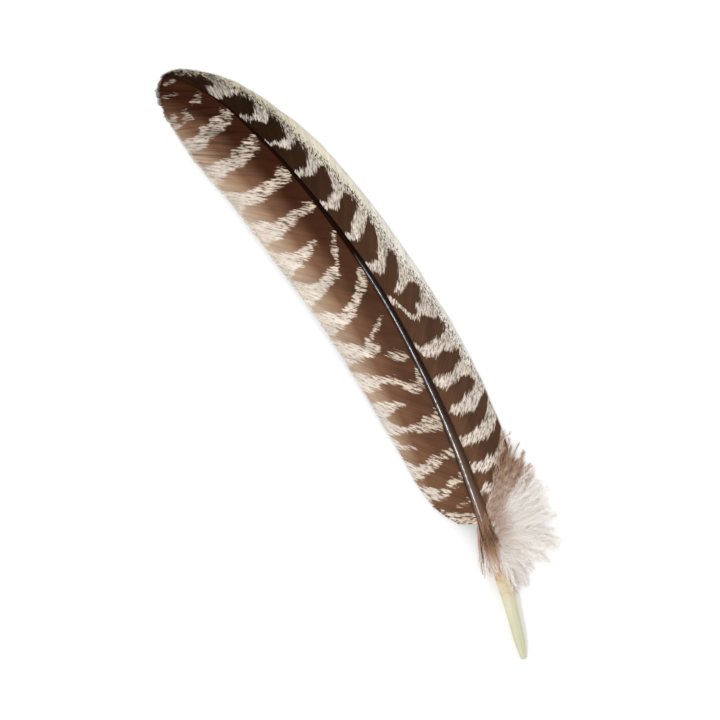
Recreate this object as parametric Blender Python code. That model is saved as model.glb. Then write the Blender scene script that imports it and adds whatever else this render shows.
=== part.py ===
"""Turkey wing feather, lying on a flat surface with its upper side up.

The quill end and the feather's tip lie near the Y axis, the quill end at -Y. The shaft bows
towards +X and arches over the surface, and the rims of both vanes come down to it. The broad
inner vane is on the -X side, the narrow outer vane on the +X side, and loose down grows on
both sides of the shaft below them.

Places on the feather are given by two numbers: the station, which is the distance along the
shaft from the quill end, and the offset, which is the distance from the shaft's centreline,
square to it, seen from above.
"""
import bmesh
import bpy
import numpy as np

MM = 0.001

# Where the middle of the feather's own box is, measured from the quill end.
BOX_CENTRE = np.array([27.4, 167.2]) * MM

# Shaft centreline seen from above, as X and Y from the quill end, in millimetres.
SHAFT_LINE_MM = [
    (0.0, 0.0), (8.3, 25.0), (18.9, 64.0), (28.3, 104.5), (34.6, 146.0),
    (37.9, 194.0), (36.0, 236.0), (29.6, 281.5), (19.0, 316.5), (5.3, 336.3),
]
# Shaft width against station.
SHAFT_WIDTH_MM = [
    (0, 2.6), (5, 4.3), (20, 5.9), (38, 6.9), (75, 6.4), (100, 5.6),
    (150, 4.1), (200, 3.3), (250, 2.3), (300, 1.4), (334, 0.6),
]
SHAFT_LENGTH = 334 * MM
SHAFT_STATIONS = 44
SHAFT_SIDES = 14
DEPTH_TO_WIDTH = 0.88

# The arch that the shaft's underside makes over the surface.
ARCH_HEIGHT = 7.5 * MM
ARCH_SPAN = 345 * MM

# Vanes. Barbs leave the shaft at this share of its depth, and fall to the rims.
BARB_ROOT_LEVEL = 0.68
VANE_DEPTH = 0.6 * MM
CAMBER_POWER = 1.7
SIDE_GAP = 0.4 * MM
VANE_BARBS = 36
VANE_STEPS = 7

# Barbs along each vane: station of the root, then station and offset of the tip.
INNER_BARBS_MM = [
    (71, 73.5, 12.5), (74, 80.5, 18.0), (80, 91, 23.2), (90, 107, 25.8), (115, 146, 30.0),
    (140, 177, 32.2), (200, 241, 34.1), (240, 279, 32.2), (265, 301, 30.7), (290, 320, 27.2),
    (308, 332, 22.9), (320, 340.2, 17.0), (328, 344.7, 10.5), (333.5, 345.6, 1.2),
]
INNER_BEND = 0.35
INNER_RIM_LIFT = 2.2 * MM
OUTER_BARBS_MM = [
    (77, 112, 24.0), (95, 131, 24.0), (125, 162, 23.2), (150, 188, 21.7), (175, 214, 21.1),
    (210, 249, 20.3), (240, 277, 18.6), (262, 296, 16.0), (285, 313.5, 12.7),
    (305, 326, 9.4), (320, 336, 6.2), (328, 341, 4.1), (333.5, 344.6, 0.8),
]
OUTER_BEND = 0.5
OUTER_RIM_LIFT = 0.0

# Down. Each tuft fans out from a stretch of the shaft to the tips of its strands, given as
# station and offset.
OUTER_DOWN_ROOTS = (40.0 * MM, 76.2 * MM)
OUTER_DOWN_TIPS_MM = [
    (33, 6), (38, 13), (42, 24), (47, 32), (57, 34.5), (70, 34.5), (82, 32.5),
    (92, 29.5), (102, 26.3), (111.2, 24.0),
]
OUTER_DOWN_DEPTH = 7.5 * MM
INNER_DOWN_ROOTS = (45.0 * MM, 69.0 * MM)
INNER_DOWN_TIPS_MM = [(42, 5.5), (44, 8), (48, 9.6), (55, 9.3), (62, 7.0), (69.3, 5.0)]
INNER_DOWN_DEPTH = 3.5 * MM
DOWN_ROOT_DEPTH = 3.0 * MM
DOWN_EDGE_DEPTH = 0.5 * MM
DOWN_CLEARANCE = 0.5 * MM
DOWN_RAYS = 15
DOWN_STEPS = 8


def smooth(position, knots):
    """A cubic curve through the knots, whose slope at each is the mean of its two sides."""
    knots = np.asarray(knots, float)
    at, values = knots[:, 0], knots[:, 1:]
    span = np.diff(at)[:, None]
    slope = np.diff(values, axis=0) / span
    middle = (slope[:-1] * span[1:] + slope[1:] * span[:-1]) / (span[1:] + span[:-1])
    tangent = np.vstack([slope[:1], middle, slope[-1:]])
    position = np.asarray(position, float)
    left = np.clip(np.searchsorted(at, position) - 1, 0, len(at) - 2)
    width = span[left]
    part = ((position - at[left])[..., None]) / width
    rest = 1 - part
    curve = values[left] * (1 + 2 * part) * rest**2 + values[left + 1] * (3 - 2 * part) * part**2
    curve += width * part * rest * (tangent[left] * rest - tangent[left + 1] * part)
    return curve if values.shape[1] > 1 else curve[..., 0]


def profile(station, knots_mm):
    """A length in metres that varies smoothly with station, from knots in millimetres."""
    return smooth(np.asarray(station) / MM, knots_mm) * MM


def line_knots():
    """The centreline's points, each with its distance from the quill end."""
    points = np.array(SHAFT_LINE_MM)
    steps = np.hypot(*np.diff(points, axis=0).T)
    return np.column_stack([np.r_[0, np.cumsum(steps)], points])


def place(station, offset, height):
    """The point at a station and an offset, at a height over the surface."""
    knots = line_knots()
    near = np.asarray(station) / MM
    centre = smooth(near, knots) * MM
    ahead = smooth(near + 0.5, knots) - smooth(near - 0.5, knots)
    ahead /= np.linalg.norm(ahead, axis=-1, keepdims=True)
    x = centre[..., 0] + offset * ahead[..., 1] - BOX_CENTRE[0]
    y = centre[..., 1] - offset * ahead[..., 0] - BOX_CENTRE[1]
    return np.stack([x, y, np.broadcast_to(height, x.shape)], axis=-1)


def underside(station):
    """Height of the shaft's underside: a parabola that meets the surface at both ends."""
    part = np.clip(station / ARCH_SPAN, 0, 1)
    return 4 * ARCH_HEIGHT * part * (1 - part)


def shaft_width(station):
    return profile(np.minimum(station, SHAFT_LENGTH), SHAFT_WIDTH_MM)


def root_height(station):
    """Height at which barbs leave the shaft."""
    return underside(station) + BARB_ROOT_LEVEL * DEPTH_TO_WIDTH * shaft_width(station)


def bent(part, bend):
    """Share of the way outwards at a share of a barb's length: steep at first, then flatter."""
    return part * (1 + bend * (1 - part))


def material(name, colour, roughness):
    """A plain Principled material with no metal."""
    made = bpy.data.materials.new(name)
    made.use_nodes = True
    shader = made.node_tree.nodes["Principled BSDF"]
    shader.inputs["Base Color"].default_value = (*colour, 1)
    shader.inputs["Roughness"].default_value = roughness
    shader.inputs["Metallic"].default_value = 0
    return made


def add_object(name, build, surface):
    """Turn a finished bmesh into a named, smooth-shaded object."""
    bmesh.ops.recalc_face_normals(build, faces=build.faces)
    mesh = bpy.data.meshes.new(name)
    build.to_mesh(mesh)
    build.free()
    mesh.shade_smooth()
    mesh.materials.append(surface)
    made = bpy.data.objects.new(name, mesh)
    bpy.context.collection.objects.link(made)
    return made


def sheet(name, top, depth, surface):
    """A closed sheet: a grid of points on its upper side, extruded downwards by its depth."""
    build = bmesh.new()
    layer = build.verts.layers.float.new("depth")
    rows, columns = top.shape[:2]
    depth = np.broadcast_to(depth, (rows, columns))
    grid = [[build.verts.new(top[i, j]) for j in range(columns)] for i in range(rows)]
    for i in range(rows):
        for j in range(columns):
            grid[i][j][layer] = depth[i, j]
    for i in range(rows - 1):
        for j in range(columns - 1):
            build.faces.new((grid[i][j], grid[i + 1][j], grid[i + 1][j + 1], grid[i][j + 1]))
    grown = bmesh.ops.extrude_face_region(build, geom=build.faces[:])["geom"]
    for vertex in grown:
        if isinstance(vertex, bmesh.types.BMVert):
            vertex.co.z -= vertex[layer]
    bmesh.ops.triangulate(build, faces=build.faces[:])
    return add_object(name, build, surface)


def make_shaft():
    """Quill and shaft: oval rings along the centreline, bridged and closed at both ends."""
    station = SHAFT_LENGTH * np.linspace(0, 1, SHAFT_STATIONS) ** 1.1
    width = shaft_width(station)
    depth = DEPTH_TO_WIDTH * width
    turn = np.linspace(0, 2 * np.pi, SHAFT_SIDES, endpoint=False)
    offset = 0.5 * width[:, None] * np.cos(turn)
    height = (underside(station) + 0.5 * depth)[:, None] + 0.5 * depth[:, None] * np.sin(turn)
    points = place(np.broadcast_to(station[:, None], offset.shape), offset, height)
    build = bmesh.new()
    rings = [[build.verts.new(point) for point in ring] for ring in points]
    for low, high in zip(rings, rings[1:]):
        for k in range(SHAFT_SIDES):
            after = (k + 1) % SHAFT_SIDES
            build.faces.new((low[k], low[after], high[after], high[k]))
    build.faces.new(rings[0])
    build.faces.new(rings[-1])
    bmesh.ops.triangulate(build, faces=build.faces[:])
    return add_object("shaft", build, material("keratin_shaft", (0.10, 0.065, 0.045), 0.35))


def crowded_ends(count):
    """Shares from 0 to 1 that lie closer together towards both ends."""
    even = np.linspace(0, 1, count)
    return 0.35 * even + 0.65 * (0.5 - 0.5 * np.cos(np.pi * even))


def make_vane(name, side, barbs_mm, bend, rim_lift, surface):
    """One vane: a sheet whose rows are barbs, from their roots on the shaft to the rim."""
    share = crowded_ends(VANE_BARBS)
    start = barbs_mm[0][0] * MM
    end = barbs_mm[-1][0] * MM
    root = start + (end - start) * share
    tip = smooth(root / MM, barbs_mm) * MM
    root = root[:, None]
    along = np.linspace(0, 1, VANE_STEPS)[None, :]
    station = root + (tip[:, :1] - root) * along
    near = 0.5 * shaft_width(root) + SIDE_GAP
    offset = near + (tip[:, 1:] - near) * bent(along, bend)
    lift = rim_lift * np.sin(np.pi * share[:, None])
    low = VANE_DEPTH + lift
    high = np.maximum(root_height(station), low)
    fall = bent(along, bend) ** CAMBER_POWER
    top = place(station, side * offset, high + (low - high) * fall)
    return sheet(name, top, VANE_DEPTH, surface)


def make_down(name, side, roots, tips_mm, full_depth, bend, surface):
    """One tuft of down: a soft pad that fans out from the shaft and thins to its edges."""
    fan = np.linspace(0, 1, DOWN_RAYS)[:, None]
    along = np.linspace(0, 1, DOWN_STEPS)[None, :]
    tips = np.array(tips_mm, float)
    tip = smooth(fan[:, 0], np.column_stack([np.linspace(0, 1, len(tips)), tips])) * MM
    root = roots[0] + (roots[1] - roots[0]) * fan
    station = root + (tip[:, :1] - root) * along
    near = 0.5 * shaft_width(root) + DOWN_CLEARANCE
    offset = near + (tip[:, 1:] - near) * bent(along, bend * fan)
    across = np.sin(np.pi * fan) ** 0.5
    swell = np.sin(np.pi * along**0.8) * across
    depth = DOWN_ROOT_DEPTH * (1 - along) ** 2 * across + full_depth * swell + DOWN_EDGE_DEPTH
    middle = (root_height(root) - 0.3 * depth) * (1 - along) ** 1.5
    low = np.maximum(middle - 0.5 * depth, DOWN_EDGE_DEPTH)
    top = place(station, side * offset, low + depth)
    return sheet(name, top, depth, surface)


def clear_scene():
    for old in list(bpy.data.objects):
        bpy.data.objects.remove(old, do_unlink=True)


def main():
    clear_scene()
    make_shaft()
    brown = material("barred_inner_vane", (0.15, 0.085, 0.05), 0.7)
    make_vane("inner_vane", -1, INNER_BARBS_MM, INNER_BEND, INNER_RIM_LIFT, brown)
    dark = material("barred_outer_vane", (0.32, 0.26, 0.20), 0.7)
    make_vane("outer_vane", 1, OUTER_BARBS_MM, OUTER_BEND, OUTER_RIM_LIFT, dark)
    pale = material("pale_down", (0.66, 0.59, 0.53), 0.9)
    make_down("outer_down", 1, OUTER_DOWN_ROOTS, OUTER_DOWN_TIPS_MM, OUTER_DOWN_DEPTH,
              OUTER_BEND, pale)
    make_down("inner_down", -1, INNER_DOWN_ROOTS, INNER_DOWN_TIPS_MM, INNER_DOWN_DEPTH,
              0.0, pale)


main()
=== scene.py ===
"""Turkey wing feather on a pale floor: shaft, two barred vanes of single barbs, and down.

Run as a script. Every surface is worked out with numpy from two numbers: the station, which is
the distance along the shaft from the quill end, and the offset, which is the distance from the
shaft's centreline, square to it, seen from above. Both are in millimetres until a point is
placed in the frame, in metres. An offset is positive on the outer vane's side.
"""

import math

import bpy
import numpy as np
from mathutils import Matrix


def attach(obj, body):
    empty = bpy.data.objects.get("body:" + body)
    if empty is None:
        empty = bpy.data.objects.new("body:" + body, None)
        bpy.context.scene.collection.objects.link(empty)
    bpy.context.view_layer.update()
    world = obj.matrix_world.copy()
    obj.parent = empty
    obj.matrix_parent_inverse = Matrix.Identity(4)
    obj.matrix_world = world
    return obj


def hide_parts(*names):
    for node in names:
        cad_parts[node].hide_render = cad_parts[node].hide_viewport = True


bl_info = {
    "name": "Turkey wing feather",
    "version": (1, 0, 0),
    "blender": (4, 5, 0),
    "location": "3D View > Sidebar > Feather",
    "description": "Makes a barred wing feather, barb by barb, with its down",
    "category": "Add Mesh",
}

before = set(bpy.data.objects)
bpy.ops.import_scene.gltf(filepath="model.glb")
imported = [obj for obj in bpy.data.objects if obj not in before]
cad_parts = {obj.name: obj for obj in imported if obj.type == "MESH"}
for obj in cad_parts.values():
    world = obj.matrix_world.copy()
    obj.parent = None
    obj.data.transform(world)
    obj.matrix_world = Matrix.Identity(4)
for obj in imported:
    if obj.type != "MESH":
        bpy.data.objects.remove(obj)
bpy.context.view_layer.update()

MM = 0.001
BODY = "root"
SEED = 20

# ---------------------------------------------------------------- the feather's plan, in mm

# Where the middle of the feather's own box is, measured from the quill end.
BOX_CENTRE = np.array([27.4, 167.2])

# Shaft centreline seen from above, as X and Y from the quill end.
SHAFT_LINE = [
    (0.0, 0.0), (8.3, 25.0), (18.9, 64.0), (28.3, 104.5), (34.6, 146.0),
    (37.9, 194.0), (36.0, 236.0), (29.6, 281.5), (19.0, 316.5), (5.3, 336.3),
]
# Shaft width against station.
SHAFT_WIDTH = [
    (0, 2.6), (5, 4.3), (20, 5.9), (38, 6.9), (75, 6.4), (100, 5.6),
    (150, 4.1), (200, 3.3), (250, 2.3), (300, 1.4), (334, 0.6),
]
SHAFT_LENGTH = 334
DEPTH_TO_WIDTH = 0.88
# How high the shaft's underside arches over the floor, and over what length.
ARCH_HEIGHT = 7.5
ARCH_SPAN = 345
# Barbs are rooted at this share of the shaft's depth, and fall to the rim by this power.
BARB_ROOT_LEVEL = 0.68
CAMBER_POWER = 1.7

# Barbs along each vane: station of the root, then station and offset of the tip.
INNER_BARBS = [
    (71, 73.5, 12.5), (73, 78, 16.3), (76, 86, 21.2), (82, 98.5, 24.6), (92, 115, 26.8),
    (115, 145, 29.9), (140, 175, 32.0), (200, 239, 34.1), (240, 278, 32.3), (265, 302, 30.6),
    (283, 319, 27.4), (295, 331, 23.4), (304, 337.8, 19.2), (312, 342, 14.8),
    (320, 344.8, 10.4), (327, 345.9, 6.4), (333.5, 346, 0.4),
]
OUTER_BARBS = [
    (77, 101, 23.5), (85, 110, 23.8), (95, 120, 24.0), (115, 141, 23.8), (135, 161.5, 23.2),
    (160, 187.5, 21.8), (185, 213.5, 21.1), (215, 246, 20.4), (245, 273.5, 18.9),
    (265, 291.5, 16.7), (285, 308.5, 13.7), (302, 321.5, 10.7), (316, 332, 7.6),
    (326, 340, 5.0), (333.5, 345.6, 0.2),
]
# How high each vane's rim curls off the floor, half way along it.
INNER_RIM_LIFT = 2.2
OUTER_RIM_LIFT = 0.0

# White bars, from the shaft outwards: offset, then the stations where the bar starts and ends.
INNER_BARS = [
    [(4, 69, 76), (7, 69.5, 76.5), (10, 71, 77), (14, 74, 79), (17, 78.5, 82)],
    [(3.5, 80.5, 83.5), (6, 80.5, 82.7), (10, 81, 82)],
    [(3.8, 91.5, 97.5), (5, 91, 95), (8, 90.5, 95.5), (10, 91.5, 94.5), (12, 93, 94)],
    [(12.5, 87, 92.5), (14, 86.5, 93), (17, 86.5, 93.5), (20, 87.5, 95), (24, 89, 97.5)],
    [(3.3, 104, 110), (5, 105, 109), (8, 105.3, 109.5), (10, 103.7, 109), (14, 102, 109),
     (16, 100.5, 108), (19, 101, 107), (22, 99.5, 108.5), (26, 101, 112)],
    [(19.5, 114, 117), (21, 115.5, 118), (24, 117.4, 119.2), (26, 118, 124), (29, 120, 127)],
    [(3.3, 119, 131.5), (5, 119, 127.5), (7, 119.5, 128.5), (9, 120, 128.5), (12, 121, 127.5),
     (15, 122, 127), (18, 123, 127.5), (21, 124.3, 129), (24, 126, 132), (28, 127, 138),
     (31, 128, 141)],
    [(15, 137, 139), (17, 137.8, 141), (19, 137.5, 142), (21, 137, 143), (24, 136, 144),
     (27, 135, 145.5), (31, 136, 147)],
    [(3.2, 142, 153), (5, 141, 146), (7, 139.5, 147), (9, 140.5, 148), (11, 143, 149.5),
     (13, 146, 153), (15, 148.5, 154), (18, 150.5, 155.5), (21, 151.5, 157), (24, 151, 159),
     (27, 150.5, 161), (31, 153, 165)],
    [(5, 158, 162), (6, 157, 163.5), (8, 158, 165), (10, 159.5, 166), (12, 161.5, 166.5),
     (13, 164, 166)],
    [(14.5, 168, 172), (16, 166, 174), (18, 166.3, 175), (20, 166.5, 175.5), (22, 167, 176.5),
     (25, 167.5, 178), (28, 169, 180), (32, 167, 184)],
    [(17.5, 173, 177), (15, 174.5, 177), (13, 176, 179), (11, 176.5, 180), (9, 177, 181),
     (7, 180, 182), (5, 181.7, 183)],
    [(2.8, 201, 209), (4.5, 197.5, 207), (6, 196.5, 204.5), (8, 195.5, 203.5),
     (10, 194.7, 200), (12, 192.5, 198.5), (14, 191, 197.5), (16, 189, 197), (18, 188.3, 196),
     (22, 187.5, 194.5), (24, 186.5, 196), (27, 187.5, 198), (30, 186, 200.5), (34, 186, 204)],
    [(2.3, 227.5, 231), (4, 226, 229), (5, 223.5, 227.5), (6.5, 220.5, 226.5),
     (9, 216.5, 225.5), (10, 214, 218), (12, 211, 215.5), (14, 209.5, 216), (16, 209, 217),
     (20, 208, 215), (24, 206.5, 214.8), (27, 206, 216.5), (29, 206.5, 218.5), (34, 203, 224)],
    [(12, 231, 233), (14, 231, 234), (16, 227.5, 234), (20, 226.5, 233.5), (24, 225, 234),
     (28, 226, 237), (30, 224, 238.5), (34, 222, 243)],
    [(1.5, 246, 248.5), (3, 245, 249), (4.5, 243, 249.5), (6, 242.8, 250), (8, 243.5, 250),
     (12, 245, 250.5), (17, 244, 250.5), (20, 244, 251.5), (23, 243.7, 252.5), (26, 244, 255),
     (29, 245, 257.5), (35, 244, 263)],
    [(1.5, 264, 268.5), (3, 262.5, 272.5), (6, 262.5, 271.5), (8, 263.3, 269), (10, 264, 270),
     (14, 263.5, 271.2), (20, 263.5, 272.5), (23, 264.8, 273.5), (26, 265, 276),
     (28, 266.5, 278.5), (33, 265.5, 284)],
    [(1.5, 288, 291.5), (3, 285.5, 292.5), (8, 284.3, 292.5), (12, 284.5, 293.5),
     (14, 283.8, 294), (17, 285, 292.5), (20, 286, 294), (23, 287, 295.5), (29, 287.5, 298),
     (32, 288, 301)],
    [(1.3, 306, 311), (3, 304.8, 312), (5, 303.3, 311.5), (7, 303.8, 312.5), (10, 303.3, 314),
     (12, 304, 312), (16, 306, 316), (18, 304.5, 313), (22, 305.5, 315), (24, 306, 317),
     (28.5, 310, 323)],
    [(1.7, 324.3, 325.7), (3, 323, 327), (4.5, 322.3, 327), (6, 322, 327.5), (7.5, 325.5, 328)],
    [(11.5, 328, 329.5), (13, 326, 329.5), (14, 320.5, 330), (15.5, 323, 330)],
    [(19.2, 330, 337), (20, 326, 336), (21, 326, 333)],
    [(6.3, 335.5, 337), (7.5, 337, 339), (9, 339, 341.5), (10.5, 341.5, 343.5)],
    [(0.4, 338, 341), (2, 340, 343), (3.5, 341.5, 344.5)],
]
OUTER_BARS = [
    [(3, 82.5, 84.5), (5, 83.5, 87.5), (7, 83.2, 87.8), (9, 83.5, 87), (11, 84.5, 86)],
    [(3, 94, 99), (5, 94.2, 99), (7, 93.2, 98.5), (9, 93, 98.5), (12, 93.5, 99.5),
     (15, 94.5, 100), (18, 97, 102), (20, 99.5, 104), (23, 104, 109)],
    [(2.6, 108, 114), (4, 106.5, 113.5), (8, 106.3, 113), (10, 106.5, 112.5), (14, 107, 114),
     (16, 107.5, 114.5), (18, 108, 116), (20, 109.5, 118.5), (24, 114, 125)],
    [(4.5, 124, 128.5), (6, 122.5, 128.7), (10, 122.3, 128.8), (12, 122.7, 129.5),
     (14, 121.8, 130), (16, 123, 131), (18, 123.7, 132), (20, 125, 134.5), (24, 127, 141)],
    [(3, 139.5, 144.5), (5, 137.8, 143.5), (9, 137.2, 144), (11, 138, 143.5), (13, 138.5, 144),
     (15, 138.8, 145.5), (17, 138.7, 146.3), (19, 138, 147), (21, 135, 153), (24, 132, 156)],
    [(2.6, 158.5, 163.5), (3.6, 154.5, 161), (5, 153.5, 160), (7, 152.8, 160.5),
     (11, 152.7, 160.5), (15, 152.5, 160.8), (17, 152, 161.5), (19, 153, 162), (21, 150, 168),
     (24, 150, 174)],
    [(2.2, 184.5, 190), (4, 182.5, 188), (5.2, 177.5, 183.5), (6.3, 174, 179.5), (7.5, 172.5, 177)],
    [(9, 172, 174.5), (10.5, 172, 176), (12, 173.5, 179.5), (14.5, 171.5, 179),
     (16, 169.5, 182), (17.5, 168.5, 183.5), (19, 168, 187), (20, 165, 190), (23, 165, 196)],
    [(5.5, 190, 191), (7, 188, 192), (9, 187.5, 193), (11, 188, 193.5), (12, 189, 196),
     (14, 189.5, 200), (16, 189, 203), (18, 187, 206), (20, 185, 210)],
    [(2, 202, 209), (4, 200.3, 206.5), (6, 200.5, 207), (7.5, 201, 205.5), (9, 202.5, 209),
     (11, 205, 211.5), (13, 206.5, 214.5), (15, 208, 219), (17, 205, 224)],
    [(1.9, 222, 226), (4, 219.7, 225), (6, 219.3, 227), (8, 221, 229.5), (10, 222.7, 230.5),
     (12, 223.3, 231.5), (14, 224.5, 233), (16, 226, 236), (18, 224, 240)],
    [(1.7, 239.5, 246), (4, 239, 243), (6, 237.7, 244.5), (8, 238.8, 245), (10, 240, 246.5),
     (12, 241, 250.5), (13, 241.5, 254), (15, 241, 257), (17, 240, 260)],
    [(1.4, 261, 265.5), (3, 260, 264.5), (5, 259, 263.5), (7, 256.8, 263.5), (9, 257.5, 265),
     (11, 259, 267.5), (12.5, 258.5, 270), (14, 257, 276)],
    [(1.2, 281.5, 285), (3, 279.5, 282.5), (5, 276, 281), (7, 274.7, 280.5), (9, 275.5, 280),
     (11, 276, 284), (12.5, 277, 287), (14, 275, 292)],
    [(1, 299.5, 303), (3, 297.5, 301.5), (5, 295, 299), (7, 291.5, 298.5), (9, 290.8, 300),
     (11, 291.5, 303.5), (12.5, 295, 308)],
    [(1, 315.5, 322), (3, 314, 324), (5, 312, 322), (7, 311, 326), (9, 309.5, 330)],
]
# Offset where each vane's pale rim margin starts, against station.
INNER_MARGIN = [
    (71, 40), (90, 30), (110, 29), (150, 32.0), (200, 32.6), (250, 33), (290, 31), (320, 28),
    (346, 20),
]
OUTER_MARGIN = [
    (77, 30), (110, 26), (140, 22.3), (150, 21), (165, 19.7), (185, 18.4), (200, 16.2),
    (215, 15.5), (225, 16.2), (240, 15.4), (258, 14), (275, 12.2), (292, 12.4), (305, 10.4),
    (318, 8.2), (330, 5.9), (340, 3.6), (346, 2),
]
# Splits in a vane: station of the root, how far the rim opens, how far in it reaches.
INNER_SPLITS = [
    (76.0, 1.5, 0.7), (84.0, 1.0, 0.65), (92.0, 0.8, 0.6), (97.0, 2.4, 0.78), (111.0, 1.2, 0.7),
    (147.5, 2.0, 0.86), (158.0, 0.9, 0.75), (189.0, 0.6, 0.8), (243.5, 2.2, 0.84),
    (262.0, 0.6, 0.8), (287.0, 0.8, 0.7), (300.0, 0.9, 0.6), (306.0, 0.7, 0.45),
    (312.0, 1.0, 0.5), (317.5, 0.8, 0.35), (323.0, 1.0, 0.4),
]
OUTER_SPLITS = [(136.0, 0.7, 0.75), (222.0, 0.5, 0.8), (273.0, 0.6, 0.7), (303.0, 0.8, 0.6)]

# Locks of down: span of the roots along the shaft, offset of the roots, station and offset of
# the lock's tip, and how many plumes it has. They stand in order across each tuft.
OUTER_LOCKS = [
    (48, 55, 2.6, 30.5, 4.8, 9), (49, 57, 2.8, 34.5, 10.8, 9), (51, 58, 2.8, 41, 15.5, 6),
    (54, 60, 2.9, 41.5, 24, 5), (56, 62, 3.0, 46.5, 31, 5), (57, 63, 3.0, 50.5, 32, 6),
    (58, 64, 3.0, 55, 33, 6), (60, 66, 3.0, 62, 35, 6), (61, 68, 3.0, 66.5, 32.5, 5),
    (63, 70, 3.0, 70.5, 34.5, 6), (64, 71, 3.0, 75.5, 34, 6), (66, 72, 3.0, 80.5, 33, 6),
    (67, 73, 3.0, 87, 31.5, 5),
]
OUTER_SHORT_LOCKS = [(48, 66, 2.8, 46, 16, 6), (54, 72, 3.0, 62, 20, 6), (58, 74, 3.0, 72, 22, 4)]
BROWN_LOCKS = [
    (66, 72, 3.0, 83.5, 30, 4), (67, 73, 3.0, 87, 31, 6), (68, 74, 3.0, 90.5, 29.5, 6),
    (69, 75, 3.0, 94, 29.5, 6), (70, 76, 3.0, 97.5, 27.5, 6), (71, 76.5, 3.0, 102, 25.5, 5),
    (73, 77, 3.0, 107.5, 23.8, 4),
]
BROWN_SHORT_LOCKS = [(62, 72, 2.8, 77, 13, 5), (66, 74, 2.8, 83, 19, 6), (68, 75, 2.8, 90, 24, 6)]
INNER_LOCKS = [
    (64, 71, -3.3, 46.5, -9.6, 5), (62, 71, -3.2, 44.5, -8.2, 5), (60, 70, -3.0, 42.5, -6.2, 5),
    (58, 69, -2.6, 42, -4.4, 4),
]
SHAFT_LOCKS = [
    (60, 73, -2.6, 44, -3.4, 8), (60, 74, -1.2, 43, -1.6, 8), (60, 75, 0.4, 44, 0.4, 8),
    (60, 76, 1.8, 45, 2.2, 8), (60, 76, 2.8, 46, 3.8, 8), (52, 62, 2.6, 37, 3.4, 7),
    (52, 64, 3.0, 35, 4.8, 7),
]


# ---------------------------------------------------------------- curves and places

def smooth(position, knots):
    """A cubic curve through the knots, whose slope at each is the mean of its two sides."""
    knots = np.asarray(knots, float)
    at, values = knots[:, 0], knots[:, 1:]
    span = np.diff(at)[:, None]
    slope = np.diff(values, axis=0) / span
    middle = (slope[:-1] * span[1:] + slope[1:] * span[:-1]) / (span[1:] + span[:-1])
    tangent = np.vstack([slope[:1], middle, slope[-1:]])
    position = np.asarray(position, float)
    left = np.clip(np.searchsorted(at, position) - 1, 0, len(at) - 2)
    width = span[left]
    part = ((position - at[left])[..., None]) / width
    rest = 1 - part
    curve = values[left] * (1 + 2 * part) * rest**2 + values[left + 1] * (3 - 2 * part) * part**2
    curve += width * part * rest * (tangent[left] * rest - tangent[left + 1] * part)
    return curve if values.shape[1] > 1 else curve[..., 0]


def between(position, knots):
    """Straight lines through the knots, level past their ends."""
    return np.interp(position, *np.array(knots, float).T)


def line_knots():
    """The centreline's points, each with its distance from the quill end."""
    points = np.array(SHAFT_LINE)
    steps = np.hypot(*np.diff(points, axis=0).T)
    return np.column_stack([np.r_[0, np.cumsum(steps)], points])


def place(station, offset, height):
    """Points in the frame, in metres, from station, offset and height in millimetres."""
    knots = line_knots()
    centre = smooth(station, knots)
    ahead = smooth(station + 0.5, knots) - smooth(station - 0.5, knots)
    ahead /= np.linalg.norm(ahead, axis=-1, keepdims=True)
    x = centre[..., 0] + offset * ahead[..., 1] - BOX_CENTRE[0]
    y = centre[..., 1] - offset * ahead[..., 0] - BOX_CENTRE[1]
    return np.stack([x, y, np.broadcast_to(height, x.shape)], axis=-1) * MM


def underside(station):
    """Height of the shaft's underside: a parabola that meets the floor at both ends."""
    part = np.clip(station / ARCH_SPAN, 0, 1)
    return 4 * ARCH_HEIGHT * part * (1 - part)


def shaft_width(station):
    """The shaft's width at a station, which stays the same past its tip."""
    return smooth(np.minimum(station, SHAFT_LENGTH), SHAFT_WIDTH)


def shaft_height(station, level):
    """Height at a share of the shaft's depth, from its underside up."""
    return underside(station) + level * DEPTH_TO_WIDTH * shaft_width(station)


def ease(value, low, high):
    """0 below low, 1 above high, and a smooth S between them."""
    part = np.clip((value - low) / (high - low), 0, 1)
    return part * part * (3 - 2 * part)


def wander(random, count, reach):
    """Random numbers, mostly within -1 to 1, that drift: those within reach are much alike."""
    far = int(math.ceil(3 * reach))
    kernel = np.exp(-0.5 * (np.arange(-far, far + 1) / reach) ** 2)
    drift = np.convolve(random.normal(size=count + len(kernel) - 1), kernel, "valid")
    return drift / math.sqrt((kernel**2).sum())


def unit(vectors):
    """Vectors over their own lengths."""
    return vectors / np.maximum(np.linalg.norm(vectors, axis=-1, keepdims=True), 1e-12)


def frames_along(centre):
    """Three directions at each point of each path: along it, level to its right, and square to
    both."""
    along = unit(np.gradient(centre, axis=-2))
    right = unit(np.cross(along, np.array([0.0, 0.0, 1.0])))
    return along, right, np.cross(right, along)


# ---------------------------------------------------------------- meshes

# Space round each tube in the bake map, as shares of its column's width and height.
COLUMN_GAP = 0.04
ROW_GAP = 0.02


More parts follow.
